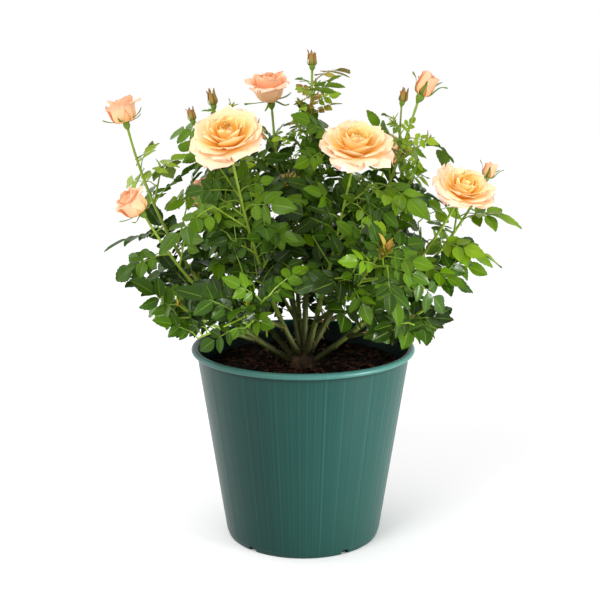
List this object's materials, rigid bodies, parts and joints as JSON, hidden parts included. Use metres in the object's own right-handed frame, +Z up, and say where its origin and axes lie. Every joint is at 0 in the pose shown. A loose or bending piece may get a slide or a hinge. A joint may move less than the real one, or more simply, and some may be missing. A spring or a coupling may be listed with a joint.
{
  "type": "potted rose bush",
  "caption": "Bushy shrub rose with apricot blooms, buds and toothed compound leaves, growing in a tapered green nursery pot filled with dark potting mix",
  "frame": {"origin": "middle of the flat underside of the pot, at ground level", "axes": "+Z up along the pot's axis; -Y is the front, the side the two big open blooms face; +X to the right seen from the front"},
  "size_m": [0.4653, 0.3154, 0.543],
  "materials": {
    "pot_plastic": "satin",
    "potting_mix": "matte",
    "old_wood": "rough",
    "cane_bark": "satin",
    "foliage": "satin"
  },
  "bodies": {
    "root": {"bud_union": "old_wood", "cane_back_high": "cane_bark", "cane_back_left": "cane_bark", "cane_back_low": "cane_bark", "cane_back_low_left": "cane_bark", "cane_back_low_right": "cane_bark", "cane_back_mid": "cane_bark", "cane_back_right": "cane_bark", "cane_front_left": "cane_bark", "cane_front_low": "cane_bark", "cane_front_right": "cane_bark", "cane_front_shoot": "cane_bark", "cane_left_buds": "cane_bark", "cane_left_high": "cane_bark", "cane_left_low": "cane_bark", "cane_low_left": "cane_bark", "cane_low_right": "cane_bark", "cane_right_behind": "cane_bark", "cane_right_high": "cane_bark", "cane_right_low": "cane_bark", "cane_top": "cane_bark", "foliage_back_high": "foliage", "foliage_back_left": "foliage", "foliage_back_low": "foliage", "foliage_back_low_left": "foliage", "foliage_back_low_right": "foliage", "foliage_back_mid": "foliage", "foliage_back_right": "foliage", "foliage_front_left": "foliage", "foliage_front_low": "foliage", "foliage_front_right": "foliage", "foliage_front_shoot": "foliage", "foliage_left_buds": "foliage", "foliage_left_high": "foliage", "foliage_left_low": "foliage", "foliage_low_left": "foliage", "foliage_low_right": "foliage", "foliage_right_behind": "foliage", "foliage_right_high": "foliage", "foliage_right_low": "foliage", "foliage_top": "foliage", "pot": "pot_plastic", "soil": "potting_mix"}
  },
  "joints": []
}
